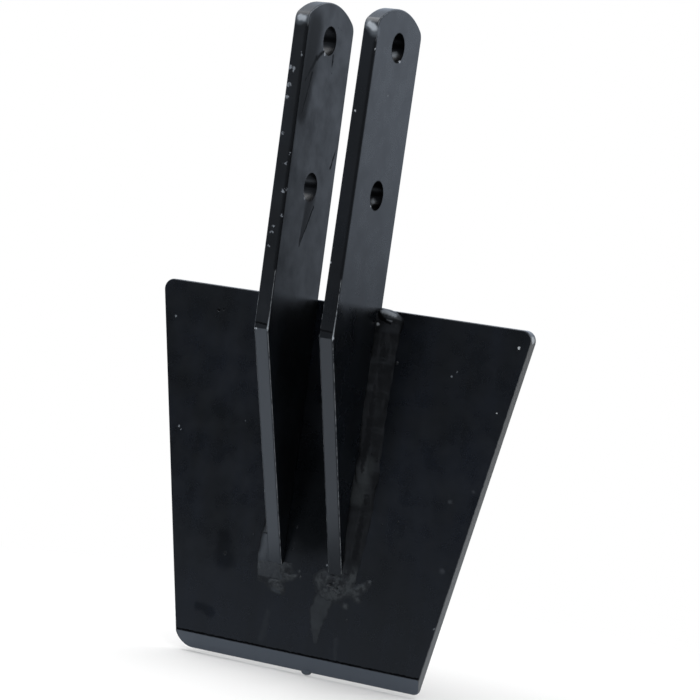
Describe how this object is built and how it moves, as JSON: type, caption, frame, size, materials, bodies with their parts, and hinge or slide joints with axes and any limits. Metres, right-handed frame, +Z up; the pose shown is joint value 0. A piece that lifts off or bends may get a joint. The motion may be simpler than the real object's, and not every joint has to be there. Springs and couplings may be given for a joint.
{
  "type": "spading machine blade",
  "caption": "Welded digging spade: a trapezoid plate with a bevelled foot on tapered flat bars set on edge, with rounded ends and bolt holes.",
  "frame": {"origin": "middle of the upper bolt bore, halfway between the bars", "axes": "+X along the bolts, +Z up along the bars away from the cutting edge, -Y is the way the digging face looks"},
  "size_m": [0.1978, 0.056, 0.3225],
  "materials": {
    "plate_paint": "semi-gloss black dip paint on sheared steel plate",
    "bar_paint": "semi-gloss black dip paint on rolled flat bar",
    "weld_paint": "semi-gloss black dip paint over a rippled weld bead"
  },
  "bodies": {
    "root": {"blade_plate": "plate_paint", "left_bar": "bar_paint", "right_bar": "bar_paint", "left_weld": "weld_paint", "right_weld": "weld_paint"}
  },
  "joints": []
}
